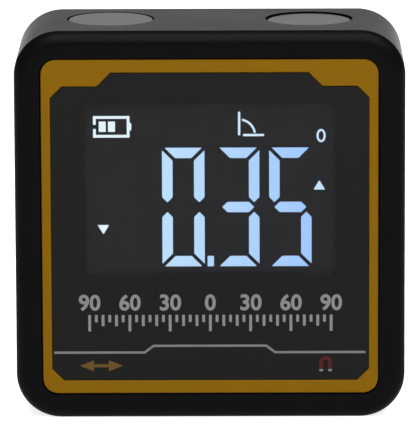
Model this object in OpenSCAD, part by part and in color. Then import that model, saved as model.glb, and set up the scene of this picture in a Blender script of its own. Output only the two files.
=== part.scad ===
// Digital angle gauge: a square pocket inclinometer with a lit display,
// two keys in the top face, magnets in the base and a battery door behind.
// Millimetres. X runs to the right, Y to the rear, Z up from the base.

/* [Body] */
// Width of the case
body_w = 58; // [54:0.5:66]
// Height of the case
body_h = 58.5; // [55:0.1:66]
// Depth of the case, front to rear
body_d = 25.5; // [24:0.5:32]
// Radius of the case's corners, seen from the front
corner_r = 6.7; // [5.5:0.1:8]
// Rounding of the front edges
front_edge_r = 2.3; // [1:0.1:3]
// How far the front rounding would stand past the sides, which cut it off at a crisp line
front_edge_cut = 0.2; // [0:0.05:0.3]
// Rounding of the rear edges
rear_edge_r = 1.5; // [0.6:0.1:1.5]
// Thickness of the side walls
wall = 2.2; // [1.6:0.1:2.8]
// Thickness of the shelf behind the bezel
shelf_t = 1.4; // [1:0.1:2]

/* [Bezel and lens] */
// Width of the case's rim beside the bezel
rim_side = 4; // [3.4:0.1:6]
// Width of the case's rim above the bezel
rim_top = 4.15; // [3.4:0.05:6]
// Width of the case's rim below the bezel
rim_foot = 3.85; // [3.4:0.05:6]
// Clearance between the bezel and the case
bezel_clear = 0.2; // [0.1:0.05:0.3]
// Clearance between the lens and the bezel
lens_clear = 0.08; // [0.05:0.01:0.15]
// Radius of the bezel's outer corners
bezel_r = 2.2; // [1:0.1:4]
// Depth of the bezel's seat in the case
bezel_seat = 2; // [1.8:0.1:3]
// How far the bezel's face lies below the rim
bezel_drop = 0.1; // [0:0.05:0.4]
// Width of the bezel at the sides of the lens
bezel_side = 1.45; // [1.2:0.05:3]
// Width of the bezel below the lens
bezel_foot = 2.02; // [1.2:0.05:4]
// Width of the bezel above the lens, at the middle
bezel_crown = 2.04; // [1.2:0.05:4]
// Drop from the lens's middle edge to its shoulders
shoulder_drop = 2.06; // [1:0.05:3]
// Half-width of the lens's raised middle edge
crown_half = 14.6; // [8:0.1:17]
// Chamfer at the lens's upper corners
chamfer_top = 1.7; // [0.5:0.1:3]
// Chamfer at the lens's lower corners
chamfer_foot = 1.7; // [0.5:0.1:3]
// Ledge of the bezel that carries the lens
lens_ledge = 0.8; // [0.5:0.1:1.5]
// Thickness of the lens
lens_t = 1; // [0.8:0.1:1.3]
// How far the lens lies below the bezel's face
lens_drop = 0.12; // [0:0.02:0.3]

/* [Display] */
// Width of the display glass
lcd_w = 40.6; // [38:0.1:42]
// Height of the display glass
lcd_h = 29.4; // [28:0.1:30]
// Thickness of the display glass
lcd_t = 2; // [1.4:0.1:2.4]
// Gap between the display glass and the bezel's ledge above it
lcd_top_gap = 0.35; // [0.2:0.05:0.6]
// Gap between the lens and the display glass
lcd_gap = 0.15; // [0.1:0.05:0.4]
// Clearance round the display glass
lcd_clear = 0.3; // [0.2:0.05:0.5]
// Margin of the display glass beside the lit field
lcd_margin = 1.95; // [1:0.05:3]
// Height of a connector strip
connector_h = 1.6; // [1:0.1:2]
// Clearance above and below a connector strip
connector_clear = 0.2; // [0.1:0.05:0.3]
// Thickness of the light guide
backlight_t = 2; // [1.5:0.1:3]
// Height of a digit
digit_h = 17.95; // [14:0.05:19]
// Width of a digit
digit_w = 6.3; // [5:0.05:7]
// Step from digit to digit
digit_pitch = 7.75; // [7.6:0.05:8.2]
// Extra step for the decimal point
point_room = 0.4; // [0.2:0.05:0.8]
// Width of a segment
segment_w = 1.56; // [1:0.02:1.9]
// Gap between segments
segment_gap = 0.56; // [0.2:0.02:0.7]
// Offset of the middle digit from the middle of the display
digit_x = 4.2; // [3:0.05:5]
// Height of the digits' foot above the foot of the lit field
digit_foot = 1.25; // [0.6:0.05:2]
// Height of the small signs
sign_h = 3.24; // [2.5:0.02:3.6]
// Distance of the small signs from the edges of the lit field
sign_edge = 1.4; // [0.6:0.05:1.6]
// Width of the pointer signs
pointer_w = 1.7; // [1.2:0.02:2.2]
// Height of the upper pointer above the digits' foot
pointer_high = 11.6; // [9:0.1:13]
// Height of the lower pointer above the digits' foot
pointer_low = 4.9; // [3:0.1:8]
// Thickness of the printed figures
figure_t = 0.06; // [0.04:0.01:0.1]

/* [Keys] */
// Diameter of a key
key_d = 12.7; // [9:0.1:14]
// Distance of each key's middle from the side of the case
key_side = 14.15; // [13:0.05:17]
// Travel of a key
key_travel = 0.4; // [0.25:0.05:0.6]
// Clearance round a key
key_clear = 0.2; // [0.15:0.05:0.4]
// How far the left key lies below the top face
key_drop_left = 0.02; // [0:0.02:0.4]
// How far the right key lies below the top face
key_drop_right = 0.26; // [0:0.02:0.4]
// Rounding of the key's upper edge
key_edge = 0.35; // [0.1:0.05:0.8]
// How far the key's retaining lugs reach past its well
flange_w = 0.9; // [0.5:0.1:1.4]
// Thickness of the key's retaining lugs
flange_t = 0.8; // [0.6:0.1:1.2]
// Diameter of the key's stem
stem_d = 4; // [3:0.1:6]
// Length of the key's stem below its lugs
stem_l = 0.8; // [0.6:0.1:1.5]
// Side of a push switch
switch_w = 6; // [4.5:0.1:7]
// Height of a push switch's body
switch_h = 3.5; // [2.5:0.1:4.5]
// Diameter of a switch plunger
plunger_d = 3.4; // [2:0.1:3.8]
// Height that a plunger stands out of its switch
plunger_out = 0.8; // [0.7:0.05:1.2]
// Length of a plunger inside its switch
plunger_in = 0.6; // [0.4:0.1:1]
// Clearance round a plunger
plunger_clear = 0.12; // [0.08:0.02:0.2]

/* [Boards] */
// Thickness of the circuit boards
board_t = 1.2; // [0.8:0.1:1.6]
// Gap from the main board's edge to the case's walls
board_edge = 1.4; // [0.8:0.1:2.5]
// Further gap at the main board's lower and upper ends
board_end = 2; // [1:0.1:4]
// Depth of the key board, front to rear
key_board_d = 10.4; // [10:0.1:12]
// Diameter of a board standoff
standoff_d = 4.2; // [3.4:0.1:4.4]
// Distance of the standoffs from the side edges of the main board
standoff_inset = 2; // [1.6:0.1:2.4]
// Height of the lower standoffs above the base
standoff_low = 13; // [11:0.5:16]
// Height of the upper standoffs above the base
standoff_high = 44; // [40:0.5:46]
// Diameter of a board screw
board_screw_d = 2; // [1.6:0.1:2.2]
// Diameter of a board screw's head
board_head_d = 3.6; // [3:0.1:4]
// Height of a board screw's head
board_head_t = 1.4; // [1:0.1:1.8]
// Size of the socket in a board screw's head
board_socket_d = 1.4; // [1:0.1:1.8]
// Depth of the board screws in the shelf
board_screw_bite = 0.2; // [0.1:0.05:0.4]
// Side of the controller chip
chip_w = 8; // [6:0.5:9]
// Thickness of the controller chip
chip_t = 1.4; // [0.8:0.1:1.6]
// Side of the tilt sensor
sensor_w = 4; // [3:0.5:5]
// Thickness of the tilt sensor
sensor_t = 1; // [0.7:0.1:1.2]
// Width of the radio module
radio_w = 10; // [8:0.5:12]
// Height of the radio module
radio_h = 9; // [7:0.5:9.5]
// Thickness of the radio module
radio_t = 1.8; // [1.2:0.1:2.2]
// Gap between the chips
chip_gap = 3; // [1:0.1:4]
// Length of the key board's header
header_l = 10; // [6:0.5:14]
// Side of the key board's header
header_w = 2.5; // [2:0.1:2.54]

/* [Base magnets] */
// Diameter of a magnet
magnet_d = 12; // [8:0.5:13]
// Thickness of a magnet
magnet_t = 3; // [2:0.1:4]
// Distance of each magnet's middle from the side of the case
magnet_side = 14.15; // [13.5:0.05:20]
// How far a magnet lies above the base face
magnet_drop = 0.1; // [0:0.05:0.3]
// Clearance round a magnet
magnet_clear = 0.1; // [0.05:0.05:0.2]
// Wall of the pocket that holds a magnet
magnet_wall = 1.2; // [0.8:0.1:1.6]

/* [Back cover] */
// Thickness of the back cover
cover_t = 3; // [2.8:0.1:3.5]
// How far the cover's edge lies inside the reference faces
cover_inset = 0.3; // [0.05:0.05:0.4]
// Rounding of the edges along the seam
seam_edge = 0.25; // [0.1:0.05:0.4]
// Distance of the cover's screws from the edges of the case
post_edge = 5.2; // [5:0.1:5.6]
// Diameter of a screw post
post_d = 6.4; // [6:0.1:7]
// Diameter of a cover screw
cover_screw_d = 2.5; // [2:0.1:3]
// Length of a cover screw below its head
cover_screw_l = 8; // [6:0.5:12]
// Diameter of a cover screw's head
screw_head_d = 4.2; // [4:0.1:4.6]
// Height of a cover screw's head
screw_head_t = 1.3; // [1:0.1:1.4]
// Width of the cross slots in a cover screw's head
slot_w = 0.6; // [0.4:0.05:0.8]
// Depth of the cross slots in a cover screw's head
slot_t = 0.7; // [0.4:0.05:0.9]
// How far the screw heads lie below the rear face
screw_sink = 0.2; // [0.1:0.05:0.4]
// Wall of the battery compartment
tub_wall = 1.1; // [0.8:0.1:1.4]

/* [Cells and door] */
// Diameter of a cell
cell_d = 10.5; // [10:0.1:10.7]
// Gap between the compartment and the side walls of the case
tub_gap = 1.35; // [1:0.05:2]
// Gap between the two cells
cell_gap = 1; // [0.6:0.1:1.6]
// Clearance round the cells
cell_clear = 0.5; // [0.3:0.1:0.7]
// Height of the middle of the compartment above the base
cell_z = 22.75; // [22:0.25:25]
// Diameter of a cell's tip
tip_d = 3.8; // [3:0.1:4.4]
// Height of a cell's tip
tip_l = 0.9; // [0.8:0.05:1.2]
// Space taken by a plate contact
plate_space = 1.2; // [0.9:0.1:1.6]
// Space taken by a sprung contact
spring_space = 3; // [2.4:0.1:3.2]
// Thickness of the contact strip
strip_t = 0.35; // [0.25:0.05:0.5]
// Width of a sprung contact's leaf
leaf_w = 3; // [2:0.1:5]
// Diameter of a plate contact's pad
pad_d = 3; // [2:0.1:4]
// Gap between a contact and its cell
contact_gap = 0.1; // [0.05:0.05:0.2]
// Thickness of the battery door
door_t = 1.6; // [1.5:0.1:1.9]
// Width of the door's tongues
tongue_w = 0.9; // [0.6:0.1:1.2]
// Thickness of the door's tongues
tongue_t = 0.7; // [0.5:0.05:0.8]
// Overlap of the door on the compartment's edge
door_lap = 0.8; // [0.5:0.1:1.2]
// Sliding clearance of the door
door_clear = 0.15; // [0.1:0.05:0.25]
// Distance of the first grip groove from the cover's side
grip_edge = 4; // [2.5:0.1:6]
// Number of grip grooves on the door
grip_count = 6; // [3:1:9]
// Step between grip grooves
grip_pitch = 1.6; // [1.3:0.1:2]
// Length of the grip grooves
grip_l = 12; // [6:0.5:18]
// Radius of a grip groove
grip_r = 0.4; // [0.2:0.05:0.5]

/* [Hidden] */
$fn = 64;
e = 0.02;
pilot_gap = 0.1;
screw_gap = 0.4;
front_y = -body_d / 2;
rear_y = body_d / 2;
cover_y = rear_y - cover_t;
mid_z = body_h / 2;
inner_w = body_w - 2 * wall;
inner_h = body_h - 2 * wall;
inner_r = corner_r - wall;
bezel_w = body_w - 2 * rim_side;
bezel_h = body_h - rim_top - rim_foot;
bezel_z = rim_foot + bezel_h / 2;
bezel_face = front_y + bezel_drop;
seat_y = front_y + bezel_seat;
shelf_y = seat_y + shelf_t;
lens_y = bezel_face + lens_drop;
lens_back = lens_y + lens_t;
lens_half = bezel_w / 2 - bezel_side;
lens_foot = rim_foot + bezel_foot;
lens_top = body_h - rim_top - bezel_crown;
lens_shoulder = lens_top - shoulder_drop;
lcd_y = lens_back + lcd_gap;
lcd_z = lens_shoulder - lens_ledge - lcd_top_gap - lcd_h / 2;
lcd_back = lcd_y + lcd_t;
board_y = lcd_back + backlight_t;
board_back = board_y + board_t;
field_w = lcd_w - 2 * lcd_margin;
field_h = lcd_h - 2 * (connector_h + 2 * connector_clear);
connector_z = (lcd_h + field_h) / 4;
sign_foot = lcd_z + field_h / 2 - sign_edge - sign_h;
post_x = body_w / 2 - post_edge;
board_half = inner_w / 2 - board_edge;
standoff_x = board_half - standoff_inset;
key_x = body_w / 2 - key_side;
magnet_x = body_w / 2 - magnet_side;
board_low = wall + board_edge + board_end;
board_high = body_h - board_low;
post_clear = 0.6;
neck_half = post_x - post_d / 2 - post_clear;
neck_low = post_edge + post_d / 2 + post_clear;
neck_high = body_h - neck_low;
key_ceiling = body_h - wall;
lug_half = neck_half - key_x;
switch_top = key_ceiling - flange_t - stem_l - plunger_out;
key_board_top = switch_top - switch_h;
key_board_low = key_board_top - board_t;
cells_h = 2 * cell_d + cell_gap;
tub_h = cells_h + 2 * cell_clear;
tub_l = inner_w - 2 * (tub_wall + tub_gap);
cell_l = tub_l - spring_space - plate_space;
chip_z = (cell_z + tub_h / 2 + tub_wall + key_board_low - header_w) / 2;
cell_shift = (spring_space - plate_space) / 2;
channel_y = rear_y - door_t - door_clear;
cell_y = channel_y - cell_clear - cell_d / 2;
tub_floor = cell_y - cell_d / 2 - cell_clear;
door_h = tub_h + 2 * door_lap;
door_left = -tub_l / 2 - door_lap;
cover_half = body_w / 2 - cover_inset;
segment_map = [[1, 1, 1, 1, 1, 1, 0], [1, 1, 1, 1, 0, 0, 1], [1, 0, 1, 1, 0, 1, 1]];

// Front-view outline carried from one depth to another
module slab(y0, y1) {
    translate([0, y1, 0])
        rotate([90, 0, 0])
            linear_extrude(y1 - y0)
                children();
}

// Rounded rectangle, centred
module rounded(w, h, r) {
    square([w - 2 * r, h], center = true);
    square([w, h - 2 * r], center = true);
    for (x = [-1, 1], y = [-1, 1])
        translate([x * (w / 2 - r), y * (h / 2 - r)])
            circle(r);
}

// Two circles that round the front edges, their middles a distance from the centre line
module front_rounds(middle, y0, rf) {
    for (x = [-1, 1])
        translate([x * middle, y0 + rf])
            circle(rf);
}

// Section across the case: span by depth, with rounded front and rear edges.
// With a cut, the front rounding is moved out by it and the sides trim it.
module section(span, y0, y1, rf, rr, cut = 0) {
    middle = span / 2 - rf + cut;
    translate([-span / 2, y0 + rf])
        square([span, y1 - y0 - rf - rr]);
    translate([-middle, y0])
        square([2 * middle, rf + e]);
    translate([-span / 2 + rr, y1 - rr - e])
        square([span - 2 * rr, rr + e]);
    if (cut > 0)
        intersection() {
            front_rounds(middle, y0, rf);
            translate([-span / 2, y0 - e])
                square([span, rf + 2 * e]);
        }
    else
        front_rounds(middle, y0, rf);
    for (x = [-1, 1])
        translate([x * (span / 2 - rr), y1 - rr])
            circle(rr);
}

// Block with round corners in front view and rounded front or rear edges
module soft_block(w, h, r, y0, y1, rf, rr, cut = 0) {
    translate([0, 0, mid_z]) {
        translate([0, 0, -h / 2 + r])
            linear_extrude(h - 2 * r)
                section(w, y0, y1, rf, rr, cut);
        translate([-w / 2 + r, 0, 0])
            rotate([0, 90, 0])
                linear_extrude(w - 2 * r)
                    section(h, y0, y1, rf, rr, cut);
        for (c = [[1, 1, -90], [1, -1, 0], [-1, -1, 90], [-1, 1, 180]])
            translate([c[0] * (w / 2 - r), 0, c[1] * (h / 2 - r)])
                rotate([-90, 0, 0])
                    rotate([0, 0, c[2]])
                        rotate_extrude(angle = 90)
                            intersection() {
                                section(2 * r, y0, y1, rf, rr, cut);
                                translate([0, y0])
                                    square([r, y1 - y0]);
                            }
    }
}

// Stepped outline of the lens, grown by g all round
module lens_outline(g) {
    k = g * (sqrt(2) - 1);
    right = [
        [lens_half - chamfer_foot + k, lens_foot - g],
        [lens_half + g, lens_foot + chamfer_foot - k],
        [lens_half + g, lens_shoulder - chamfer_top + k],
        [lens_half - chamfer_top + k, lens_shoulder + g],
        [crown_half + shoulder_drop + k, lens_shoulder + g],
        [crown_half + k, lens_top + g]
    ];
    left = [for (i = [len(right) - 1:-1:0]) [-right[i][0], right[i][1]]];
    polygon(concat(right, left));
}

// Places of the four screw posts
module at_posts() {
    for (x = [-1, 1], z = [post_edge, body_h - post_edge])
        translate([x * post_x, 0, z])
            rotate([-90, 0, 0])
                children();
}

// Places of the four board standoffs
module at_standoffs() {
    for (x = [-1, 1], z = [standoff_low, standoff_high])
        translate([x * standoff_x, 0, z])
            rotate([-90, 0, 0])
                children();
}

module housing() {
    color([0.09, 0.09, 0.095])
        difference() {
            union() {
                difference() {
                    soft_block(body_w, body_h, corner_r, front_y, cover_y, front_edge_r, seam_edge,
                        front_edge_cut);
                    slab(shelf_y, cover_y + 1)
                        translate([0, mid_z])
                            rounded(inner_w, inner_h, inner_r);
                }
                at_posts()
                    translate([0, 0, shelf_y - e])
                        cylinder(d = post_d, h = cover_y - shelf_y + e);
                at_standoffs()
                    translate([0, 0, shelf_y - e])
                        cylinder(d = standoff_d, h = board_y - shelf_y + e);
                for (x = [-1, 1])
                    translate([x * magnet_x, 0, wall - e])
                        cylinder(d = magnet_d + 2 * (magnet_clear + magnet_wall),
                            h = magnet_drop + magnet_t + magnet_wall - wall + e);
            }
            slab(front_y - 1, seat_y)
                translate([0, bezel_z])
                    rounded(bezel_w + 2 * bezel_clear, bezel_h + 2 * bezel_clear, bezel_r + bezel_clear);
            slab(seat_y - 1, shelf_y + 1)
                translate([0, lcd_z])
                    square([lcd_w + 2 * lcd_clear, lcd_h + 2 * lcd_clear], center = true);
            for (x = [-1, 1])
                translate([x * key_x, 0, key_ceiling - e])
                    cylinder(d = key_d + 2 * key_clear, h = wall + 1);
            for (x = [-1, 1])
                translate([x * magnet_x, 0, -1])
                    cylinder(d = magnet_d + 2 * magnet_clear, h = magnet_drop + magnet_t + 1);
            at_posts()
                translate([0, 0, cover_y - cover_screw_l])
                    cylinder(d = cover_screw_d + pilot_gap, h = cover_screw_l + 1);
            at_standoffs()
                translate([0, 0, shelf_y - 2 * board_screw_bite])
                    cylinder(d = board_screw_d + pilot_gap, h = board_y - shelf_y + 2);
        }
}

module bezel_frame() {
    color([0.86, 0.6, 0.08])
        difference() {
            slab(bezel_face, seat_y)
                translate([0, bezel_z])
                    rounded(bezel_w, bezel_h, bezel_r);
            slab(bezel_face - 1, lens_back)
                lens_outline(lens_clear);
            slab(bezel_face, seat_y + 1)
                lens_outline(-lens_ledge);
        }
}

module display_lens() {
    color([0.14, 0.14, 0.15, 0.6])
        slab(lens_y, lens_back)
            lens_outline(0);
}

module lcd_glass() {
    color([0.17, 0.17, 0.18])
        slab(lcd_y, lcd_back)
            translate([0, lcd_z])
                square([lcd_w, lcd_h], center = true);
}

// Horizontal bar with mitred ends, at the head of a digit
module head_bar() {
    g = segment_gap * 0.7;
    polygon([[g, digit_h], [digit_w - g, digit_h],
        [digit_w - g - segment_w, digit_h - segment_w], [g + segment_w, digit_h - segment_w]]);
}

// Upright bar at the upper left of a digit, pointed at its foot
module upright() {
    g = segment_gap * 0.7;
    low = digit_h / 2 + segment_w * 0.47;
    polygon([[0, digit_h - g], [0, low + segment_w / 2], [segment_w / 2, low],
        [segment_w, low + segment_w / 2], [segment_w, digit_h - segment_w - g]]);
}

// Middle bar of a digit, pointed at both ends
module middle_bar() {
    a = segment_w / 2;
    translate([0, digit_h / 2])
        polygon([[a, 0], [2 * a, a], [digit_w - 2 * a, a], [digit_w - a, 0],
            [digit_w - 2 * a, -a], [2 * a, -a]]);
}

// One digit from its row of lit segments
module digit(lit) {
    if (lit[0])
        head_bar();
    if (lit[1])
        translate([digit_w, 0])
            mirror([1, 0])
                upright();
    if (lit[2])
        translate([digit_w, digit_h])
            rotate(180)
                upright();
    if (lit[3])
        translate([0, digit_h])
            mirror([0, 1])
                head_bar();
    if (lit[4])
        translate([0, digit_h])
            mirror([0, 1])
                upright();
    if (lit[5])
        upright();
    if (lit[6])
        middle_bar();
}

// Battery sign: case with a tip, a slot in its left side and two bars
module battery_sign() {
    line = sign_h / 8;
    long = sign_h * 1.67;
    difference() {
        union() {
            square([long, sign_h]);
            translate([long - e, sign_h / 3])
                square([line * 0.7, sign_h / 3]);
        }
        translate([line, line])
            square([long - 2 * line, sign_h - 2 * line]);
        translate([-line, sign_h * 0.4])
            square([3 * line, sign_h * 0.2]);
    }
    for (x = [2.1, 5.5])
        translate([x * line, 2.15 * line])
            square([2.55 * line, 3.8 * line]);
}

// Angle sign: upright, foot and arc
module angle_sign() {
    line = sign_h / 9.5;
    translate([0, line / 2])
        square([line, sign_h * 1.08]);
    translate([2.2 * line, 0])
        square([9.1 * line, line]);
    translate([line / 2, line / 2])
        intersection() {
            difference() {
                circle(7.3 * line);
                circle(6.4 * line);
            }
            translate([1.2 * line, line])
                square([sign_h, sign_h]);
        }
}

// Oval, centred
module oval(w, h) {
    polygon([for (a = [0:15:345]) [w / 2 * cos(a), h / 2 * sin(a)]]);
}

// Degree sign, an upright oval ring
module degree_sign() {
    line = sign_h * 0.095;
    wide = sign_h * 0.42;
    tall = sign_h * 0.62;
    difference() {
        oval(wide, tall);
        oval(wide - 2 * line, tall - 2 * line);
    }
}

// Small upright triangle
module pointer() {
    polygon([[-pointer_w / 2, 0], [pointer_w / 2, 0], [0, pointer_w * 0.82]]);
}

module lcd_segments() {
    foot = lcd_z - field_h / 2 + digit_foot;
    color([0.75, 0.88, 1])
        slab(lcd_y - figure_t, lcd_y) {
            for (i = [0:2])
                translate([digit_x + (i - 1) * digit_pitch - (i == 0 ? point_room : 0) - digit_w / 2, foot])
                    digit(segment_map[i]);
            translate([digit_x - digit_pitch - point_room + digit_w / 2 + segment_gap * 0.75, foot])
                square([segment_w * 0.6, segment_w]);
            translate([-field_w / 2 + sign_edge * 0.75, sign_foot])
                battery_sign();
            translate([digit_x, sign_foot + sign_h * 0.05])
                angle_sign();
            translate([field_w / 2 - 1.31 * sign_edge, sign_foot + sign_h * 0.07])
                degree_sign();
            translate([field_w / 2 - 1.5 * sign_edge, foot + pointer_high])
                pointer();
            translate([-field_w / 2 + 1.77 * sign_edge, foot + pointer_low + pointer_w * 0.82])
                mirror([0, 1])
                    pointer();
        }
}

module backlight_panel() {
    color([0.93, 0.95, 0.97])
        slab(lcd_back, board_y)
            translate([0, lcd_z])
                square([field_w, field_h], center = true);
}

module lcd_connectors() {
    color([0.3, 0.3, 0.33])
        for (s = [-1, 1])
            slab(lcd_back, board_y)
                translate([0, lcd_z + s * connector_z])
                    square([field_w, connector_h], center = true);
}

module main_board() {
    color([0.07, 0.33, 0.2])
        difference() {
            slab(board_y, board_back) {
                translate([-board_half, neck_low])
                    square([2 * board_half, neck_high - neck_low]);
                translate([-neck_half, board_low])
                    square([2 * neck_half, board_high - board_low]);
            }
            at_standoffs()
                translate([0, 0, board_y - 1])
                    cylinder(d = board_screw_d + screw_gap, h = board_t + 2);
        }
}

module controller_chip() {
    color([0.12, 0.12, 0.13])
        slab(board_back, board_back + chip_t)
            translate([-(sensor_w + chip_w) / 2 - chip_gap, chip_z])
                square([chip_w, chip_w], center = true);
}

module sensor_chip() {
    color([0.14, 0.14, 0.15])
        slab(board_back, board_back + sensor_t)
            translate([0, chip_z])
                square([sensor_w, sensor_w], center = true);
}

module radio_module() {
    color([0.72, 0.73, 0.75])
        slab(board_back, board_back + radio_t)
            translate([(sensor_w + radio_w) / 2 + chip_gap, chip_z])
                square([radio_w, radio_h], center = true);
}

module board_screws() {
    color([0.75, 0.76, 0.78])
        at_standoffs()
            union() {
                translate([0, 0, shelf_y - board_screw_bite])
                    cylinder(d = board_screw_d, h = board_back - shelf_y + board_screw_bite + e);
                difference() {
                    translate([0, 0, board_back])
                        cylinder(d = board_head_d, h = board_head_t);
                    translate([0, 0, board_back + board_head_t / 2])
                        cylinder(d = board_socket_d, h = board_head_t, $fn = 6);
                }
            }
}

module key_board() {
    color([0.07, 0.33, 0.2])
        translate([-neck_half, board_back, key_board_low])
            cube([2 * neck_half, key_board_d, board_t]);
}

module key_header() {
    color([0.15, 0.15, 0.16])
        translate([-header_l / 2, board_back, key_board_low - header_w])
            cube([header_l, header_w, header_w]);
}

// Push switch with a bore for its plunger
module push_switch(x) {
    difference() {
        translate([x - switch_w / 2, -switch_w / 2, key_board_top])
            cube([switch_w, switch_w, switch_h]);
        translate([x, 0, switch_top - plunger_in - key_travel - 2 * plunger_clear])
            cylinder(d = plunger_d + 2 * plunger_clear, h = switch_h);
    }
}

// Plunger that the key's stem presses
module push_plunger(x) {
    translate([x, 0, switch_top - plunger_in])
        cylinder(d = plunger_d, h = plunger_in + plunger_out);
}

// Key: disc in its well, two retaining lugs under the wall and a stem
module push_key(x, drop) {
    r = key_d / 2;
    top = body_h - drop;
    translate([x, 0, 0]) {
        rotate_extrude() {
            translate([0, key_ceiling - e])
                square([r, top - key_edge - key_ceiling + e]);
            translate([0, top - key_edge - e])
                square([r - key_edge, key_edge + e]);
            intersection() {
                translate([r - key_edge, top - key_edge])
                    circle(key_edge);
                translate([0, key_ceiling])
                    square([r, body_h]);
            }
        }
        intersection() {
            translate([0, 0, key_ceiling - flange_t])
                cylinder(r = r + key_clear + flange_w, h = flange_t);
            translate([-lug_half, -key_d, key_ceiling - flange_t - 1])
                cube([2 * lug_half, 2 * key_d, flange_t + 2]);
        }
        translate([0, 0, key_ceiling - flange_t - stem_l])
            cylinder(d = stem_d, h = stem_l + e);
    }
}

module switch_left() {
    color([0.2, 0.2, 0.21])
        push_switch(-key_x);
}

module switch_right() {
    color([0.2, 0.2, 0.21])
        push_switch(key_x);
}

module plunger_left() {
    color([0.85, 0.84, 0.8])
        push_plunger(-key_x);
}

module plunger_right() {
    color([0.85, 0.84, 0.8])
        push_plunger(key_x);
}

module button_left() {
    color([0.48, 0.48, 0.49])
        push_key(-key_x, key_drop_left);
}

module button_right() {
    color([0.48, 0.48, 0.49])
        push_key(key_x, key_drop_right);
}

module magnet_left() {
    color([0.75, 0.76, 0.78])
        translate([-magnet_x, 0, magnet_drop])
            cylinder(d = magnet_d, h = magnet_t);
}

module magnet_right() {
    color([0.75, 0.76, 0.78])
        translate([magnet_x, 0, magnet_drop])
            cylinder(d = magnet_d, h = magnet_t);
}

module back_cover() {
    lip_y = channel_y + door_clear + tongue_t + door_clear;
    color([0.1, 0.1, 0.105])
        difference() {
            union() {
                soft_block(body_w - 2 * cover_inset, body_h - 2 * cover_inset,
                    corner_r - cover_inset, cover_y, rear_y, seam_edge, rear_edge_r);
                slab(tub_floor - tub_wall, cover_y + e)
                    translate([0, cell_z])
                        square([tub_l + 2 * tub_wall, tub_h + 2 * tub_wall], center = true);
            }
            slab(tub_floor, rear_y + 1)
                translate([0, cell_z])
                    square([tub_l, tub_h], center = true);
            translate([door_left - door_clear, channel_y, cell_z - door_h / 2 - door_clear])
                cube([body_w, door_t + door_clear + 1, door_h + 2 * door_clear]);
            translate([door_left - door_clear, channel_y,
                    cell_z - door_h / 2 - tongue_w - door_clear])
                cube([body_w, lip_y - channel_y, door_h + 2 * (tongue_w + door_clear)]);
            at_posts()
                translate([0, 0, cover_y - 1])
                    cylinder(d = cover_screw_d + screw_gap, h = cover_t + 2);
            at_posts()
                translate([0, 0, rear_y - screw_head_t - screw_sink])
                    cylinder(d = screw_head_d + screw_gap, h = cover_t);
        }
}

module cover_screws() {
    seat = rear_y - screw_head_t - screw_sink;
    tip = cover_y - cover_screw_l + screw_gap;
    slot_l = screw_head_d * 0.6;
    color([0.3, 0.3, 0.31])
        at_posts()
            difference() {
                union() {
                    translate([0, 0, tip])
                        cylinder(d = cover_screw_d, h = seat - tip + e);
                    translate([0, 0, seat])
                        cylinder(d = screw_head_d, h = screw_head_t);
                }
                for (a = [0, 90])
                    rotate([0, 0, a])
                        translate([-slot_l / 2, -slot_w / 2, seat + screw_head_t - slot_t])
                            cube([slot_l, slot_w, 2 * slot_t]);
            }
}

module battery_door() {
    inner = channel_y + door_clear;
    color([0.1, 0.1, 0.105])
        difference() {
            union() {
                intersection() {
                    translate([door_left, inner, cell_z - door_h / 2])
                        cube([cover_half - door_left, door_t, door_h]);
                    linear_extrude(body_h)
                        section(2 * cover_half, cover_y, rear_y, seam_edge, rear_edge_r);
                }
                translate([door_left, inner, cell_z - door_h / 2 - tongue_w])
                    cube([cover_half - rear_edge_r - door_left, tongue_t, door_h + 2 * tongue_w]);
            }
            for (i = [0:grip_count - 1])
                translate([cover_half - grip_edge - i * grip_pitch, rear_y, cell_z - grip_l / 2])
                    cylinder(r = grip_r, h = grip_l);
        }
}

// Cell with its tip, tip towards +X
module cell() {
    rotate([0, 90, 0])
        rotate_extrude() {
            translate([0, -cell_l / 2])
                square([cell_d / 2, cell_l - tip_l]);
            translate([0, cell_l / 2 - tip_l - e])
                square([tip_d / 2, tip_l + e]);
        }
}

module cell_upper() {
    color([0.72, 0.6, 0.25])
        translate([cell_shift, cell_y, cell_z + (cell_d + cell_gap) / 2])
            cell();
}

module cell_lower() {
    color([0.72, 0.6, 0.25])
        translate([-cell_shift, cell_y, cell_z - (cell_d + cell_gap) / 2])
            mirror([1, 0, 0])
                cell();
}

// Flat contact strip against an end wall
module contact_strip(side, z0, z1) {
    x = side * (tub_l / 2 - strip_t / 2);
    translate([x - strip_t / 2, cell_y - cell_d * 0.4, z0])
        cube([strip_t, cell_d * 0.8, z1 - z0]);
}

// Bowed leaf that presses on a cell's flat end
module contact_leaf(side, z) {
    reach = spring_space - contact_gap;
    half = cell_d * 0.34;
    r = (half * half + reach * reach) / (2 * reach);
    translate([side * tub_l / 2, cell_y, z - leaf_w / 2])
        linear_extrude(leaf_w)
            intersection() {
                translate([-side * (reach - r), 0])
                    difference() {
                        circle(r);
                        circle(r - strip_t);
                    }
                translate([-side * reach / 2, 0])
                    square([reach, cell_d * 0.8], center = true);
            }
}

// Raised pad that meets a cell's tip
module contact_pad(side, z) {
    high = plate_space - contact_gap;
    translate([side * (tub_l - high) / 2, cell_y, z])
        rotate([0, 90, 0])
            cylinder(d = pad_d, h = high, center = true);
}

module contact_bridge() {
    step = (cell_d + cell_gap) / 2;
    color([0.78, 0.78, 0.76])
        union() {
            contact_strip(-1, cell_z - cells_h * 0.4, cell_z + cells_h * 0.4);
            contact_leaf(-1, cell_z + step);
            contact_pad(-1, cell_z - step);
        }
}

module contact_plus() {
    step = (cell_d + cell_gap) / 2;
    color([0.78, 0.78, 0.76])
        union() {
            contact_strip(1, cell_z + step - cell_d * 0.35, cell_z + step + cell_d * 0.35);
            contact_pad(1, cell_z + step);
        }
}

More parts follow.
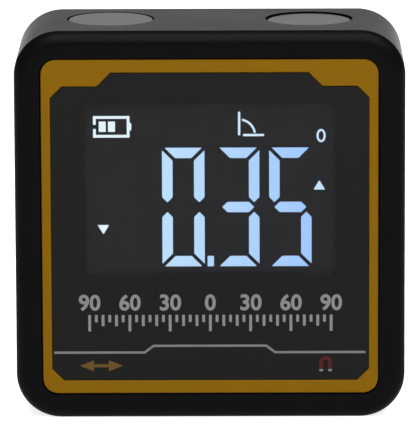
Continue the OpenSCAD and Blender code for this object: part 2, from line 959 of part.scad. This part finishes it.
module contact_minus() {
    step = (cell_d + cell_gap) / 2;
    color([0.78, 0.78, 0.76])
        union() {
            contact_strip(1, cell_z - step - cell_d * 0.35, cell_z - step + cell_d * 0.35);
            contact_leaf(1, cell_z - step);
        }
}

housing();
bezel_frame();
display_lens();
lcd_glass();
lcd_segments();
backlight_panel();
lcd_connectors();
main_board();
controller_chip();
sensor_chip();
radio_module();
board_screws();
key_board();
key_header();
switch_left();
switch_right();
plunger_left();
plunger_right();
button_left();
button_right();
magnet_left();
magnet_right();
back_cover();
cover_screws();
battery_door();
cell_upper();
cell_lower();
contact_bridge();
contact_plus();
contact_minus();
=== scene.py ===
import math
import bpy
from mathutils import Matrix, Vector


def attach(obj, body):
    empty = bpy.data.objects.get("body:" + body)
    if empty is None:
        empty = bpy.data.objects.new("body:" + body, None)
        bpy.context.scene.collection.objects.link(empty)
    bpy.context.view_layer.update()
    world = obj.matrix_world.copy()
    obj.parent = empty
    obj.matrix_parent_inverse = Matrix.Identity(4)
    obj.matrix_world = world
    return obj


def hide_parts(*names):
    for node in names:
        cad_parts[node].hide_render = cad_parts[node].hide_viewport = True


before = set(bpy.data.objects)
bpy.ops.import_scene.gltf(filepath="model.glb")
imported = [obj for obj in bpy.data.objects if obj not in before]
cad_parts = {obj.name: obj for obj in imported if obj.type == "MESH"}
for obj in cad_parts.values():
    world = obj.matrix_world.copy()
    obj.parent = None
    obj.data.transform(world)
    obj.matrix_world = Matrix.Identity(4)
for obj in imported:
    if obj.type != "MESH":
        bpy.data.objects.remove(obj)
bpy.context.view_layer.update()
mm = 0.001
print("frame loaded:", len(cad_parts), "nodes")


# camera, set by the photograph's outline

cameraSet = {
    "aim": (0.0, 0.0, 29.25), "distance": 800.0, "azimuth": 0.399, "elevation": 11.05,
    "roll": -0.224, "focalPixels": 5302.0, "frameHeight": 424.0, "shift": (-0.01424, -0.00466),
    "sensor": 36.0, "clipStart": 10.0,
}


def placeCamera(s):
    az, el, roll = (math.radians(s[k]) for k in ("azimuth", "elevation", "roll"))
    back = Vector((math.sin(az) * math.cos(el), -math.cos(az) * math.cos(el), math.sin(el)))
    right = Vector((0, 0, 1)).cross(back).normalized()
    up = back.cross(right)
    across = right * math.cos(roll) + up * math.sin(roll)
    upward = up * math.cos(roll) - right * math.sin(roll)
    spot = Vector(s["aim"]) * mm + back * s["distance"] * mm
    bpy.ops.object.camera_add(location=spot)
    cam = bpy.context.object
    cam.name = "photoCamera"
    cam.matrix_world = Matrix.Translation(spot) @ Matrix((across, upward, back)).transposed().to_4x4()
    cam.data.sensor_width = s["sensor"]
    cam.data.lens = s["focalPixels"] * s["sensor"] / s["frameHeight"]
    cam.data.shift_x, cam.data.shift_y = s["shift"]
    cam.data.clip_start = s["clipStart"] * mm
    bpy.context.scene.camera = cam


placeCamera(cameraSet)
print("camera placed")


# shader sockets as values

class Wire:
    def __init__(self, tree, socket=None):
        self.tree = tree
        self.socket = socket

    def node(self, kind, settings=None, inputs=None, out=0):
        made = self.tree.nodes.new(kind)
        for key, value in (settings or {}).items():
            setattr(made, key, value)
        for key, value in (inputs or {}).items():
            plug = made.inputs[key]
            if isinstance(value, Wire):
                self.tree.links.new(value.socket, plug)
            else:
                plug.default_value = value
        return Wire(self.tree, made.outputs[out]) if len(made.outputs) else made

    def other(self, out):
        return Wire(self.tree, self.socket.node.outputs[out])

    def sums(self, operation, *values):
        return self.node("ShaderNodeMath", {"operation": operation}, dict(enumerate(values)))

    def __add__(self, other):
        return self.sums("ADD", self, other)

    __radd__ = __add__

    def __sub__(self, other):
        return self.sums("SUBTRACT", self, other)

    def __rsub__(self, other):
        return self.sums("SUBTRACT", other, self)

    def __mul__(self, other):
        return self.sums("MULTIPLY", self, other)

    __rmul__ = __mul__

    def __truediv__(self, other):
        return self.sums("DIVIDE", self, other)

    def __abs__(self):
        return self.sums("ABSOLUTE", self)

    def __lt__(self, other):
        return self.sums("LESS_THAN", self, other)

    def __gt__(self, other):
        return self.sums("GREATER_THAN", self, other)


def fromScreen(r, g, b):  # screen values of 0 to 255 to linear light
    def one(v):
        v = v / 255
        return v / 12.92 if v <= 0.04045 else ((v + 0.055) / 1.055) ** 2.4
    return (one(r), one(g), one(b), 1)


def shaded(colour, share):
    return tuple(v * share for v in colour[:3]) + (1,)


def newFinish(name):
    made = bpy.data.materials.new(name)
    made.use_nodes = True
    made.node_tree.nodes.clear()
    return made, Wire(made.node_tree)


def closeFinish(made, wire, **sockets):
    skin = wire.node("ShaderNodeBsdfPrincipled", None, {k.replace("_", " "): v for k, v in sockets.items()})
    wire.node("ShaderNodeOutputMaterial", None, {"Surface": skin})
    return made


def tinted(wire, factor, first, second):  # sockets by number, as their names repeat
    return wire.node("ShaderNodeMix", {"data_type": "RGBA"}, {0: factor, 6: first, 7: second}, out=2)


fineDetail, softDetail = 3.0, 2.0  # octaves of the noise


def grain(wire, place, scale, detail=fineDetail):
    return wire.node("ShaderNodeTexNoise", None, {"Vector": place, "Scale": scale, "Detail": detail})


def bumped(wire, height, strength, distance):
    return wire.node("ShaderNodeBump", None,
                     {"Height": height, "Strength": strength, "Distance": distance})


def objectPlace(wire):
    return wire.node("ShaderNodeTexCoord", out=3)  # Object


# finishes

bumpDepth = 0.03  # of all grained surfaces but the metals
patchRatio = 60  # fine grain's scale over that of the broad patches
plasticSet = {
    "case": {"colour": (9, 9, 10), "vary": 0.18, "rough": 0.36, "roughVary": 0.08,
             "grain": 5200.0, "bump": 0.16, "shine": 0.04},
    "cover": {"colour": (14, 14, 16), "vary": 0.18, "rough": 0.36, "roughVary": 0.08,
              "grain": 4200.0, "bump": 0.22, "shine": 0.3},
    "frame": {"colour": (121, 86, 6), "vary": 0.08, "rough": 0.42, "roughVary": 0.06,
              "grain": 6000.0, "bump": 0.08, "shine": 0.05},
    "key": {"colour": (91, 90, 90), "vary": 0.24, "rough": 0.55, "roughVary": 0.1,
            "grain": 7000.0, "patch": 480.0, "bump": 0.12, "shine": 0.2},
    "chip": {"colour": (30, 30, 32), "vary": 0.15, "rough": 0.55, "roughVary": 0.08,
             "grain": 9000.0, "bump": 0.2, "shine": 0.4},
    "plunger": {"colour": (208, 204, 194), "vary": 0.05, "rough": 0.45, "roughVary": 0.05,
                "grain": 6000.0, "bump": 0.08, "shine": 0.4},
    "rubber": {"colour": (52, 52, 56), "vary": 0.12, "rough": 0.7, "roughVary": 0.08,
               "grain": 5000.0, "bump": 0.15, "shine": 0.3},
    "guide": {"colour": (214, 220, 226), "vary": 0.03, "rough": 0.25, "roughVary": 0.05,
              "grain": 3000.0, "bump": 0.03, "shine": 0.5},
}


def mouldedPlastic(name, s):
    made, wire = newFinish(name)
    place = objectPlace(wire)
    fine = grain(wire, place, s["grain"])
    broad = grain(wire, place, s.get("patch", s["grain"] / patchRatio), softDetail)
    base = fromScreen(*s["colour"])
    return closeFinish(
        made, wire,
        Base_Color=tinted(wire, broad, shaded(base, 1 - s["vary"]), shaded(base, 1 + s["vary"])),
        Roughness=s["rough"] + (fine - 0.5) * s["roughVary"] * 2 + (broad - 0.5) * s["roughVary"],
        Specular_IOR_Level=s["shine"],
        Normal=bumped(wire, fine, s["bump"], bumpDepth * mm))


metalSet = {
    "plated": {"colour": (196, 197, 200), "rough": 0.28, "grain": 2600.0},
    "blackened": {"colour": (62, 62, 65), "rough": 0.38, "grain": 3200.0},
    "nickel": {"colour": (204, 202, 198), "rough": 0.2, "grain": 1800.0},
    "tinned": {"colour": (188, 190, 194), "rough": 0.34, "grain": 2200.0},
}
brushSet = {"stretch": 0.08, "worn": 0.82, "roughVary": 0.16, "bump": 0.08, "depth": 0.02}


def platedMetal(name, s):
    made, wire = newFinish(name)
    place = objectPlace(wire)
    streak = wire.node("ShaderNodeMapping", None, {"Vector": place, "Scale": (1.0, 1.0, brushSet["stretch"])})
    lines = grain(wire, streak, s["grain"])
    base = fromScreen(*s["colour"])
    return closeFinish(
        made, wire,
        Base_Color=tinted(wire, lines, shaded(base, brushSet["worn"]), base), Metallic=1.0,
        Roughness=s["rough"] + (lines - 0.5) * brushSet["roughVary"],
        Normal=bumped(wire, lines, brushSet["bump"], brushSet["depth"] * mm))


# clear part of the lens
windowSet = {"middle": 34.73, "half": (18.4, 12.75), "soft": 0.6, "behind": -12.4, "grow": 1.0}


def insideWindow(wire, place):
    x = wire.node("ShaderNodeSeparateXYZ", None, {"Vector": place})
    y, z = x.other(1), x.other(2)
    grow = (y > windowSet["behind"] * mm) * (windowSet["grow"] * mm)  # wider on the rear faces
    across = windowSet["half"][0] * mm + grow - abs(x)
    upright = windowSet["half"][1] * mm + grow - abs(z - windowSet["middle"] * mm)
    within = wire.sums("MINIMUM", across, upright) / (windowSet["soft"] * mm)
    return wire.node("ShaderNodeClamp", None, {"Value": within + 0.5})


lensSet = {"colour": (17, 17, 16), "clouded": 0.9, "clear": 0.35, "rough": 0.12, "roughVary": 0.05,
           "shine": 0.1, "grain": 900.0}


def smokedLens(s):
    made, wire = newFinish("smokedLens")
    place = objectPlace(wire)
    haze = grain(wire, place, s["grain"], softDetail)
    base = fromScreen(*s["colour"])
    return closeFinish(
        made, wire,
        Base_Color=tinted(wire, haze, shaded(base, s["clouded"]), base),
        Roughness=s["rough"] + haze * s["roughVary"],
        Alpha=1.0 - insideWindow(wire, place) * (1.0 - s["clear"]), Specular_IOR_Level=s["shine"])


# dark as the lens, with a faintly lit field behind its window
glassSet = {"dark": (17, 17, 16), "field": (48, 48, 52), "darkClouded": 0.8, "fieldClouded": 0.9,
            "rough": 0.2, "roughVary": 0.06, "shine": 0.2, "grain": 220.0}


def displayGlass(s):
    made, wire = newFinish("displayGlass")
    place = objectPlace(wire)
    cloud = grain(wire, place, s["grain"], softDetail)
    lit, dark = fromScreen(*s["field"]), fromScreen(*s["dark"])
    field = tinted(wire, cloud, shaded(lit, s["fieldClouded"]), lit)
    return closeFinish(
        made, wire,
        Base_Color=tinted(wire, cloud, shaded(dark, s["darkClouded"]), dark),
        Roughness=s["rough"] + cloud * s["roughVary"], Specular_IOR_Level=s["shine"],
        Emission_Color=tinted(wire, insideWindow(wire, place), (0, 0, 0, 1), field),
        Emission_Strength=1.0)


figureSet = {
    "left": (190, 225, 255), "right": (158, 199, 254), "from": -8.0, "to": 16.0,
    "signLeft": (228, 247, 255), "signRight": (202, 228, 252),
    "signFoot": 41.8, "leftOf": -12.0, "rightOf": 15.25, "unlit": 0.02, "rough": 0.6, "strength": 2.3,
}


def litFigures(s):
    made, wire = newFinish("litFigures")
    x = wire.node("ShaderNodeSeparateXYZ", None, {"Vector": objectPlace(wire)})
    along = (x - s["from"] * mm) / ((s["to"] - s["from"]) * mm)
    along = wire.node("ShaderNodeClamp", None, {"Value": along})
    digits = tinted(wire, along, fromScreen(*s["left"]), fromScreen(*s["right"]))
    signs = tinted(wire, along, fromScreen(*s["signLeft"]), fromScreen(*s["signRight"]))
    # the small signs stand above the digits and to both sides of them
    small = (x.other(2) > s["signFoot"] * mm) + (x < s["leftOf"] * mm) + (x > s["rightOf"] * mm)
    glow = tinted(wire, wire.sums("MINIMUM", small, 1.0), digits, signs)
    return closeFinish(
        made, wire,
        Base_Color=(s["unlit"],) * 3 + (1,), Roughness=s["rough"],
        Emission_Color=glow, Emission_Strength=s["strength"])


boardSet = {"mask": (24, 92, 52), "track": (34, 122, 70), "tracks": 180.0, "trackWide": 0.06,
            "rough": 0.35, "roughVary": 0.1, "grain": 1500.0, "bump": 0.2}


def boardMask(s):
    made, wire = newFinish("boardMask")
    place = objectPlace(wire)
    cells = wire.node("ShaderNodeTexBrick", {"offset": 0.5}, {
        "Vector": place, "Scale": s["tracks"], "Mortar Size": s["trackWide"],
        "Color1": (0, 0, 0, 1), "Color2": (0, 0, 0, 1), "Mortar": (1, 1, 1, 1)}, out=1)
    return closeFinish(
        made, wire,
        Base_Color=tinted(wire, cells, fromScreen(*s["mask"]), fromScreen(*s["track"])),
        Roughness=s["rough"] + grain(wire, place, s["grain"]) * s["roughVary"],
        Normal=bumped(wire, cells, s["bump"], bumpDepth * mm))


cellSet = {"sleeve": (166, 146, 92), "band": (204, 203, 198), "bandFrom": 17.0, "bandMetal": 0.6,
           "rough": 0.34, "roughVary": 0.1, "grain": 900.0}


def cellSleeve(name, s, tipSide):
    made, wire = newFinish(name)
    place = objectPlace(wire)
    x = wire.node("ShaderNodeSeparateXYZ", None, {"Vector": place})
    banded = (x * tipSide) > s["bandFrom"] * mm
    fine = grain(wire, place, s["grain"])
    return closeFinish(
        made, wire,
        Base_Color=tinted(wire, banded, fromScreen(*s["sleeve"]), fromScreen(*s["band"])),
        Metallic=banded * s["bandMetal"], Roughness=s["rough"] + (fine - 0.5) * s["roughVary"])


inkSet = {"thin": 0.86, "rough": 0.5, "roughVary": 0.1, "shine": 0.2, "grain": 9000.0}
inkColours = {"grey": (125, 125, 128), "line": (114, 114, 116), "amber": (91, 67, 23), "red": (71, 12, 11),
              "white": (119, 117, 115)}


def printInk(name, colour, s):
    made, wire = newFinish(name)
    speckle = grain(wire, objectPlace(wire), s["grain"], softDetail)
    base = fromScreen(*colour)
    return closeFinish(
        made, wire,
        Base_Color=tinted(wire, speckle, shaded(base, s["thin"]), base),
        Roughness=s["rough"] + speckle * s["roughVary"], Specular_IOR_Level=s["shine"])


finishes = {
    "case": mouldedPlastic("caseBlack", plasticSet["case"]),
    "cover": mouldedPlastic("coverBlack", plasticSet["cover"]),
    "frame": mouldedPlastic("frameYellow", plasticSet["frame"]),
    "key": mouldedPlastic("keyGrey", plasticSet["key"]),
    "chip": mouldedPlastic("chipBlack", plasticSet["chip"]),
    "plunger": mouldedPlastic("plungerWhite", plasticSet["plunger"]),
    "rubber": mouldedPlastic("connectorRubber", plasticSet["rubber"]),
    "guide": mouldedPlastic("lightGuide", plasticSet["guide"]),
    "plated": platedMetal("platedSteel", metalSet["plated"]),
    "blackened": platedMetal("blackenedSteel", metalSet["blackened"]),
    "nickel": platedMetal("magnetNickel", metalSet["nickel"]),
    "tinned": platedMetal("tinnedCan", metalSet["tinned"]),
    "lens": smokedLens(lensSet),
    "glass": displayGlass(glassSet),
    "figures": litFigures(figureSet),
    "board": boardMask(boardSet),
    "cellUpper": cellSleeve("cellSleeveUpper", cellSet, 1.0),
    "cellLower": cellSleeve("cellSleeveLower", cellSet, -1.0),
    "grey": printInk("inkGrey", inkColours["grey"], inkSet),
    "line": printInk("inkLine", inkColours["line"], inkSet),
    "amber": printInk("inkAmber", inkColours["amber"], inkSet),
    "red": printInk("inkRed", inkColours["red"], inkSet),
    "white": printInk("inkWhite", inkColours["white"], inkSet),
}

nodeFinish = {
    "housing": "case", "bezel_frame": "frame", "display_lens": "lens", "lcd_glass": "glass",
    "lcd_segments": "figures", "backlight_panel": "guide", "lcd_connectors": "rubber",
    "main_board": "board", "controller_chip": "chip", "sensor_chip": "chip",
    "radio_module": "tinned", "board_screws": "plated", "key_board": "board",
    "key_header": "chip", "switch_left": "chip", "switch_right": "chip",
    "plunger_left": "plunger", "plunger_right": "plunger", "button_left": "key",
    "button_right": "key", "magnet_left": "nickel", "magnet_right": "nickel",
    "back_cover": "cover", "cover_screws": "blackened", "battery_door": "cover",
    "cell_upper": "cellUpper", "cell_lower": "cellLower", "contact_bridge": "plated",
    "contact_plus": "plated", "contact_minus": "plated",
}


def dress(piece, finish):
    piece.data.materials.clear()
    piece.data.materials.append(finishes[finish])


for nodeName, finish in nodeFinish.items():
    dress(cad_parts[nodeName], finish)
print("finishes on", len(nodeFinish), "nodes")


# yellow frame with softened front edges

bezelSet = {"soft": 0.16, "segments": 3, "level": 0.01, "weld": 1e-4, "flat": 0.5, "facing": 0.9}


def softBezel(s):
    piece = bpy.data.objects.new("softBezel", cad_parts["bezel_frame"].data.copy())
    piece.data.name = "softBezel"
    bpy.context.collection.objects.link(piece)
    bpy.ops.object.select_all(action="DESELECT")
    piece.select_set(True)
    bpy.context.view_layer.objects.active = piece
    bpy.ops.object.mode_set(mode="EDIT")
    bpy.ops.mesh.select_mode(type="EDGE")
    bpy.ops.mesh.select_all(action="SELECT")
    bpy.ops.mesh.remove_doubles(threshold=s["weld"] * mm)
    bpy.ops.mesh.dissolve_limited(angle_limit=math.radians(s["flat"]))
    bpy.ops.mesh.select_all(action="DESELECT")
    bpy.ops.object.mode_set(mode="OBJECT")
    spots = piece.data.vertices
    front = min(spot.co.y for spot in spots) + s["level"] * mm
    sides = {}  # for each edge, whether its faces look forward
    for face in piece.data.polygons:
        for key in face.edge_keys:
            sides.setdefault(key, set()).add(face.normal.y < -s["facing"])
    for edge in piece.data.edges:
        edge.select = len(sides[edge.key]) == 2 and all(spots[i].co.y < front for i in edge.vertices)
    bpy.ops.object.mode_set(mode="EDIT")
    bpy.ops.mesh.bevel(offset=s["soft"] * mm, segments=s["segments"], affect="EDGES")
    bpy.ops.object.mode_set(mode="OBJECT")
    dress(piece, "frame")
    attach(piece, "gauge")
    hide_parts("bezel_frame")


softBezel(bezelSet)
print("yellow frame softened")


# printed marks on the lens

printSet = {"face": -12.53, "thick": 0.02, "round": 0.06, "roundSteps": 2, "weld": 1e-5, "facing": 0.9}


def beginBlock(name, x, z, wide, tall):
    bpy.ops.object.select_all(action="DESELECT")
    bpy.ops.mesh.primitive_cube_add(
        size=1.0, location=(x * mm, (printSet["face"] - printSet["thick"] / 2) * mm, z * mm))
    piece = bpy.context.object
    piece.name = name
    piece.data.name = name
    piece.scale = (wide * mm, printSet["thick"] * mm, tall * mm)
    bpy.ops.object.transform_apply(location=True, rotation=True, scale=True)
    return piece


def pickFace(piece, towards):
    bpy.ops.object.mode_set(mode="EDIT")
    bpy.ops.mesh.select_mode(type="FACE")
    bpy.ops.mesh.select_all(action="DESELECT")
    bpy.ops.object.mode_set(mode="OBJECT")
    towards = Vector(towards)
    facing = [face for face in piece.data.polygons if face.normal.dot(towards) > printSet["facing"]]
    max(facing, key=lambda face: face.center.dot(towards)).select = True
    bpy.ops.object.mode_set(mode="EDIT")


def pushOut(x, z):
    bpy.ops.mesh.extrude_region_move(TRANSFORM_OT_translate={"value": (x * mm, 0, z * mm)})


def pickedMiddle(piece):
    bpy.ops.object.mode_set(mode="OBJECT")
    middle = next(face.center.copy() for face in piece.data.polygons if face.select)
    bpy.ops.object.mode_set(mode="EDIT")
    return middle


def squeeze(piece, tall):
    bpy.ops.transform.resize(value=(1, 1, tall), center_override=pickedMiddle(piece))


def lean(piece, angle):
    bpy.ops.transform.rotate(value=angle, orient_axis="Y", center_override=pickedMiddle(piece))


def roundCorners(piece, offset):
    bpy.ops.object.mode_set(mode="EDIT")
    bpy.ops.mesh.select_mode(type="EDGE")
    bpy.ops.mesh.select_all(action="DESELECT")
    bpy.ops.object.mode_set(mode="OBJECT")
    spots = piece.data.vertices
    for edge in piece.data.edges:
        run = spots[edge.vertices[1]].co - spots[edge.vertices[0]].co
        edge.select = abs(run.normalized().y) > printSet["facing"]
    bpy.ops.object.mode_set(mode="EDIT")
    bpy.ops.mesh.bevel(offset=offset * mm, segments=printSet["roundSteps"], affect="EDGES")
    bpy.ops.object.mode_set(mode="OBJECT")


def joinAll(name, parts):
    bpy.ops.object.select_all(action="DESELECT")
    for part in parts:
        part.select_set(True)
    bpy.context.view_layer.objects.active = parts[0]
    bpy.ops.object.join()
    piece = bpy.context.object
    piece.name = name
    piece.data.name = name
    return piece


def setPrint(piece, ink):
    bpy.ops.object.mode_set(mode="EDIT")
    bpy.ops.mesh.select_all(action="SELECT")
    bpy.ops.mesh.remove_doubles(threshold=printSet["weld"] * mm)
    bpy.ops.mesh.normals_make_consistent(inside=False)
    bpy.ops.object.mode_set(mode="OBJECT")
    dress(piece, ink)
    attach(piece, "gauge")


separatorSet = {"from": (-23.32, 10.06), "tall": 0.36, "ends": 13.5,
                "climb": (1.33, 1.01), "middle": 16.8}


def separatorLine(s):
    line = beginBlock("separatorLine", s["from"][0] + s["ends"] / 2, s["from"][1], s["ends"], s["tall"])
    x, z = s["climb"]
    mitre = math.atan2(z, x) / 2
    pickFace(line, (1, 0, 0))
    lean(line, mitre)
    pushOut(x, z)
    pushOut(s["middle"], 0)
    lean(line, -2 * mitre)
    pushOut(x, -z)
    pushOut(s["ends"], 0)
    lean(line, mitre)
    bpy.ops.object.mode_set(mode="OBJECT")
    setPrint(line, "line")


scaleSet = {"half": 18.0, "top": 15.79, "thin": 0.42, "count": 37,
            "every": {6: 2.5, 2: 1.7, 1: 1.1},  # heights at each sixth, second and single place
            "numeralFoot": 16.54, "numeralTall": 2.5, "bold": 0.025, "curveSteps": 4, "extrude": 0.01,
            "numerals": ["90", "60", "30", "0", "30", "60", "90"]}


def scaleTicks(s):
    pitch = 2 * s["half"] / (s["count"] - 1)
    made = []
    for every, tall in s["every"].items():
        tick = beginBlock("scaleTick", 0.0, s["top"] - tall / 2, s["thin"], tall)
        roundCorners(tick, printSet["round"])
        places = [i for i in range(s["count"]) if next(k for k in s["every"] if i % k == 0) == every]
        for i in places:
            bpy.ops.object.select_all(action="DESELECT")
            tick.select_set(True)
            bpy.context.view_layer.objects.active = tick
            bpy.ops.object.duplicate(linked=False)
            copy = bpy.context.object
            copy.location.x = (i * pitch - s["half"]) * mm
            bpy.ops.object.transform_apply(location=True, rotation=False, scale=False)
            made.append(copy)
        bpy.data.objects.remove(tick)
    setPrint(joinAll("scaleTicks", made), "grey")


def scaleNumerals(s):
    step = 2 * s["half"] / (len(s["numerals"]) - 1)
    made = []
    for i, figure in enumerate(s["numerals"]):
        bpy.ops.object.select_all(action="DESELECT")
        bpy.ops.object.text_add()
        label = bpy.context.object
        label.data.body = figure
        label.data.align_x = "CENTER"
        label.data.extrude = s["extrude"]
        label.data.offset = s["bold"]
        label.data.resolution_u = s["curveSteps"]
        bpy.ops.object.convert(target="MESH")
        label = bpy.context.object
        grow = s["numeralTall"] * mm / label.dimensions.y
        label.scale = (grow, grow, printSet["thick"] * mm / (2 * s["extrude"]))
        label.rotation_euler = (math.pi / 2, 0, 0)
        label.location = ((i * step - s["half"]) * mm, (printSet["face"] - printSet["thick"] / 2) * mm,
                          s["numeralFoot"] * mm)
        bpy.ops.object.transform_apply(location=True, rotation=True, scale=True)
        made.append(label)
    setPrint(joinAll("scaleNumerals", made), "grey")


arrowSet = {"middle": (-16.3, 8.04), "shaft": 2.2, "thin": 0.46, "head": 2.0, "tall": 1.66,
            "barb": 0.02, "tip": 0.06}


def arrowSign(s):
    sign = beginBlock("arrowSign", *s["middle"], s["shaft"], s["thin"])
    for side in (-1, 1):
        pickFace(sign, (side, 0, 0))
        pushOut(side * s["barb"], 0)
        squeeze(sign, s["tall"] / s["thin"])
        pushOut(side * s["head"], 0)
        squeeze(sign, s["tip"])
        bpy.ops.object.mode_set(mode="OBJECT")
    setPrint(sign, "amber")


magnetSet = {"middle": 17.18, "crown": 9.46, "outer": 0.95, "thick": 0.58, "foot": 7.62,
             "tipGap": 0.14, "tip": 0.36, "tipRound": 0.12, "steps": 14}


def magnetSign(s):
    legX = s["middle"] - s["outer"] + s["thick"] / 2
    springing = s["crown"] - s["outer"]
    arch = beginBlock("magnetArch", legX, (s["foot"] + springing) / 2, s["thick"], springing - s["foot"])
    pickFace(arch, (0, 0, 1))
    bpy.ops.mesh.spin(steps=s["steps"], angle=math.pi, axis=(0, -1, 0),
                      center=(s["middle"] * mm, printSet["face"] * mm, springing * mm))
    pushOut(0, s["foot"] - springing)
    bpy.ops.object.mode_set(mode="OBJECT")
    setPrint(arch, "red")
    tips = []
    for side in (-1, 1):
        tip = beginBlock("magnetTip", s["middle"] + side * (s["outer"] - s["thick"] / 2),
                         s["foot"] - s["tipGap"] - s["tip"] / 2, s["thick"], s["tip"])
        roundCorners(tip, s["tipRound"])
        tips.append(tip)
    setPrint(joinAll("magnetTips", tips), "white")


separatorLine(separatorSet)
scaleTicks(scaleSet)
scaleNumerals(scaleSet)
arrowSign(arrowSet)
magnetSign(magnetSet)
print("marks printed")


# stage and light, in metres

stageSet = {
    "floorHalf": 1.6, "floorDrop": 5e-5, "floorGlow": 0.8, "floorMirrored": (0.3, 1.3), "floorShade": 0.75,
    "rearFrom": 0.05, "rearOver": 0.1,
    "worldFill": 0.34, "dimSides": 0.25, "fadeFrom": 0.62, "fadeOver": 0.12,
}
lampSet = {"spot": (0.1, -0.42, 0.72), "aim": (0, 0, 0.03), "size": 0.95, "watts": 11.0}


def rayKinds(wire):
    rays = wire.node("ShaderNodeLightPath").socket.node.outputs
    kinds = ("Is Camera Ray", "Is Glossy Ray", "Is Transmission Ray")
    camera, glossy, through = (Wire(wire.tree, rays[kind]) for kind in kinds)
    return camera, wire.sums("MINIMUM", glossy + through, 1.0)


def layFloor(s):
    bpy.ops.object.select_all(action="DESELECT")
    bpy.ops.mesh.primitive_plane_add(size=2 * s["floorHalf"], location=(0, 0, -s["floorDrop"]))
    floor = bpy.context.object
    floor.name = "paleFloor"
    made, wire = newFinish("paleFloor")
    camera, mirrored = rayKinds(wire)
    rearward = wire.node("ShaderNodeSeparateXYZ", None, {"Vector": objectPlace(wire)}).other(1)
    rear = wire.node("ShaderNodeClamp", None, {"Value": (rearward - s["rearFrom"]) / s["rearOver"]})
    near, far = s["floorMirrored"]  # mirrored rays find the floor brighter behind than in front
    matt = wire.node("ShaderNodeBsdfDiffuse", None, {"Color": (s["floorShade"],) * 3 + (1,)})
    glow = wire.node("ShaderNodeEmission", None,
                     {"Strength": camera * s["floorGlow"] + mirrored * (near + rear * (far - near))})
    both = wire.node("ShaderNodeAddShader", None, {0: matt, 1: glow})
    wire.node("ShaderNodeOutputMaterial", None, {"Surface": both})
    floor.data.materials.append(made)


def lightWorld(s):
    world = bpy.data.worlds.new("studio")
    bpy.context.scene.world = world
    world.use_nodes = True
    world.node_tree.nodes.clear()
    wire = Wire(world.node_tree)
    camera, mirrored = rayKinds(wire)
    rearward = wire.node("ShaderNodeSeparateXYZ", None, {"Vector": wire.node("ShaderNodeTexCoord")}).other(1)
    fade = wire.node("ShaderNodeClamp", None, {"Value": (rearward - s["fadeFrom"]) / s["fadeOver"]})
    backdrop = s["dimSides"] + fade * (1.0 - s["dimSides"])  # white behind, dim to the sides and overhead
    level = camera + mirrored * backdrop + (1.0 - camera - mirrored) * s["worldFill"]
    sky = wire.node("ShaderNodeBackground", None, {"Strength": level})
    wire.node("ShaderNodeOutputWorld", None, {"Surface": sky})


def hangLamp(s):
    spot = Vector(s["spot"])
    bpy.ops.object.light_add(type="AREA", location=spot)
    lamp = bpy.context.object
    lamp.name = "topSoft"
    lamp.data.shape = "DISK"
    lamp.data.size = s["size"]
    lamp.data.energy = s["watts"]
    lamp.rotation_euler = (Vector(s["aim"]) - spot).to_track_quat("-Z", "Y").to_euler()


layFloor(stageSet)
lightWorld(stageSet)
hangLamp(lampSet)
bpy.context.scene.view_settings.view_transform = "Standard"
print("stage lit")
